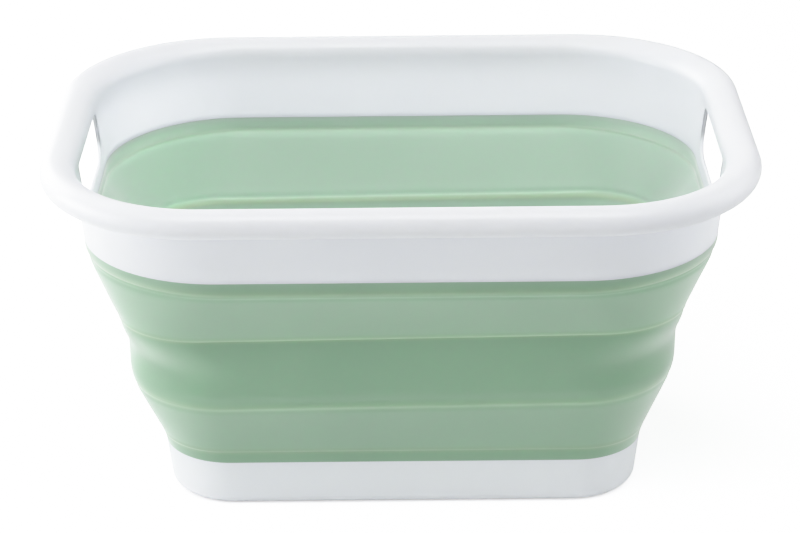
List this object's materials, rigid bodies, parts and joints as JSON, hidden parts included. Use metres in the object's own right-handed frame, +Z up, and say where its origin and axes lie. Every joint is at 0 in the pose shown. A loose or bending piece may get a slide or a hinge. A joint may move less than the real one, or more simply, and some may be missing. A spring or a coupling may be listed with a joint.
{
  "type": "collapsible tub",
  "caption": "Oblong collapsible tub: white rolled rim with a hand hole in each end, soft pale green pleated sleeve that folds down in two steps, and a white base tray",
  "frame": {"origin": "on the floor under the centre of the base, the tub fully opened", "axes": "+Z up, X along the length with a hand hole at each end, Y across the width"},
  "size_m": [0.58, 0.434, 0.299],
  "materials": {
    "white_plastic": "smooth semi-gloss moulded polypropylene",
    "green_sleeve": "satin thermoplastic rubber, faintly translucent",
    "green_hinge": "the same rubber, thinner and paler at the fold lines"
  },
  "bodies": {
    "base": {"base_tray": "white_plastic", "lower_cuff": "green_sleeve", "lower_inner_hinge": "green_hinge", "lower_fold": "green_sleeve"},
    "middle": {"middle_band": "green_sleeve", "lower_outer_hinge": "green_hinge", "upper_inner_hinge": "green_hinge", "upper_fold": "green_sleeve"},
    "rim": {"rim_frame": "white_plastic", "upper_cuff": "green_sleeve", "upper_outer_hinge": "green_hinge"}
  },
  "joints": [
    {"name": "lower_collapse", "type": "slide", "parent": "base", "child": "middle", "axis": [0, 0, -1], "range_m": [0, 0.104], "deforming": ["lower_fold", "lower_inner_hinge", "lower_outer_hinge"]},
    {"name": "upper_collapse", "type": "slide", "parent": "middle", "child": "rim", "axis": [0, 0, -1], "range_m": [0, 0.098], "deforming": ["upper_fold", "upper_inner_hinge", "upper_outer_hinge"]}
  ]
}
